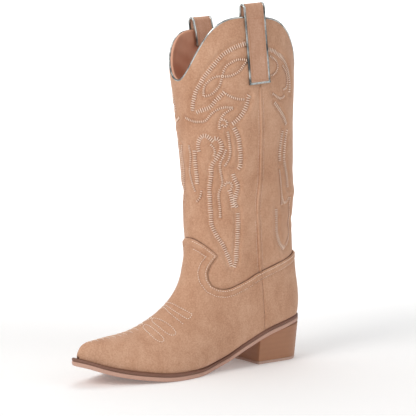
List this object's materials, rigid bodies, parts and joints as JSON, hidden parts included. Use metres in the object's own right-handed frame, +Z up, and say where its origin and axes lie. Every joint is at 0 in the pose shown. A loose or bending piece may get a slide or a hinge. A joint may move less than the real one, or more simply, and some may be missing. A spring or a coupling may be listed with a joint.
{
  "type": "cowboy boot",
  "caption": "Tall left western boot in embroidered suede with scalloped topline, pull straps, inner-side zip, welted sole with toe spring and a slanted block heel.",
  "frame": {"origin": "bottom centre of the bounding box: on the floor, under the middle of the boot", "axes": "+Z up the shaft, -Y to the toe, +X to the outer (lateral) side"},
  "size_m": [0.1102, 0.2784, 0.377],
  "materials": {
    "suede": "soft brushed suede",
    "lining_skin": "smooth thin lining",
    "sock": "smooth padded insole cover",
    "silver_trim": "metallised silver binding",
    "welt": "satin mauve-brown",
    "outsole": "satin pinkish tan",
    "top_lift": "satin",
    "heel_stack": "stacked, burnished",
    "insole_board": "fibre board",
    "stiffening": "thermoplastic sheet",
    "cork": "cork and binder",
    "steel": "plain",
    "zip_tape": "woven tape",
    "zip_teeth": "moulded coil"
  },
  "bodies": {
    "boot": {"vamp": "suede", "counter": "suede", "shaft_front": "suede", "shaft_back": "suede", "vamp_lining": "lining_skin", "counter_lining": "lining_skin", "shaft_lining_front": "lining_skin", "shaft_lining_back": "lining_skin", "toe_puff": "stiffening", "heel_stiffener": "stiffening", "side_welt_lateral": "suede", "side_welt_medial": "suede", "topline_piping": "silver_trim", "welt": "welt", "heel_lift": "top_lift", "heel_nail_1": "steel", "heel_nail_2": "steel", "heel_nail_3": "steel", "heel_nail_4": "steel", "heel_screw": "steel", "outsole": "outsole", "heel_block": "heel_stack", "shank": "steel", "bottom_filler": "cork", "insole_board": "insole_board", "sock_liner": "sock", "pull_strap_lateral": "suede", "strap_edging_lateral": "silver_trim", "pull_strap_medial": "suede", "strap_edging_medial": "silver_trim", "zip_tape_front": "zip_tape", "zip_teeth_front": "zip_teeth", "zip_top_stop_front": "steel", "zip_tape_rear": "zip_tape", "zip_teeth_rear": "zip_teeth", "zip_top_stop_rear": "steel", "zip_bottom_stop": "steel", "zip_guard": "lining_skin"},
    "slider": {"zip_slider": "steel"},
    "puller": {"zip_puller": "steel"}
  },
  "joints": [
    {"name": "zip_slide", "type": "slide", "parent": "boot", "child": "slider", "axis": [-0.0603, -0.1243, 0.9904], "range_m": [-0.088, 0]},
    {"name": "puller_swing", "type": "hinge", "parent": "slider", "child": "puller", "pos_m": [-0.04186, 0.05916, 0.14386], "axis": [0, 0.9922, 0.1245], "range_deg": [-2, 160]}
  ]
}
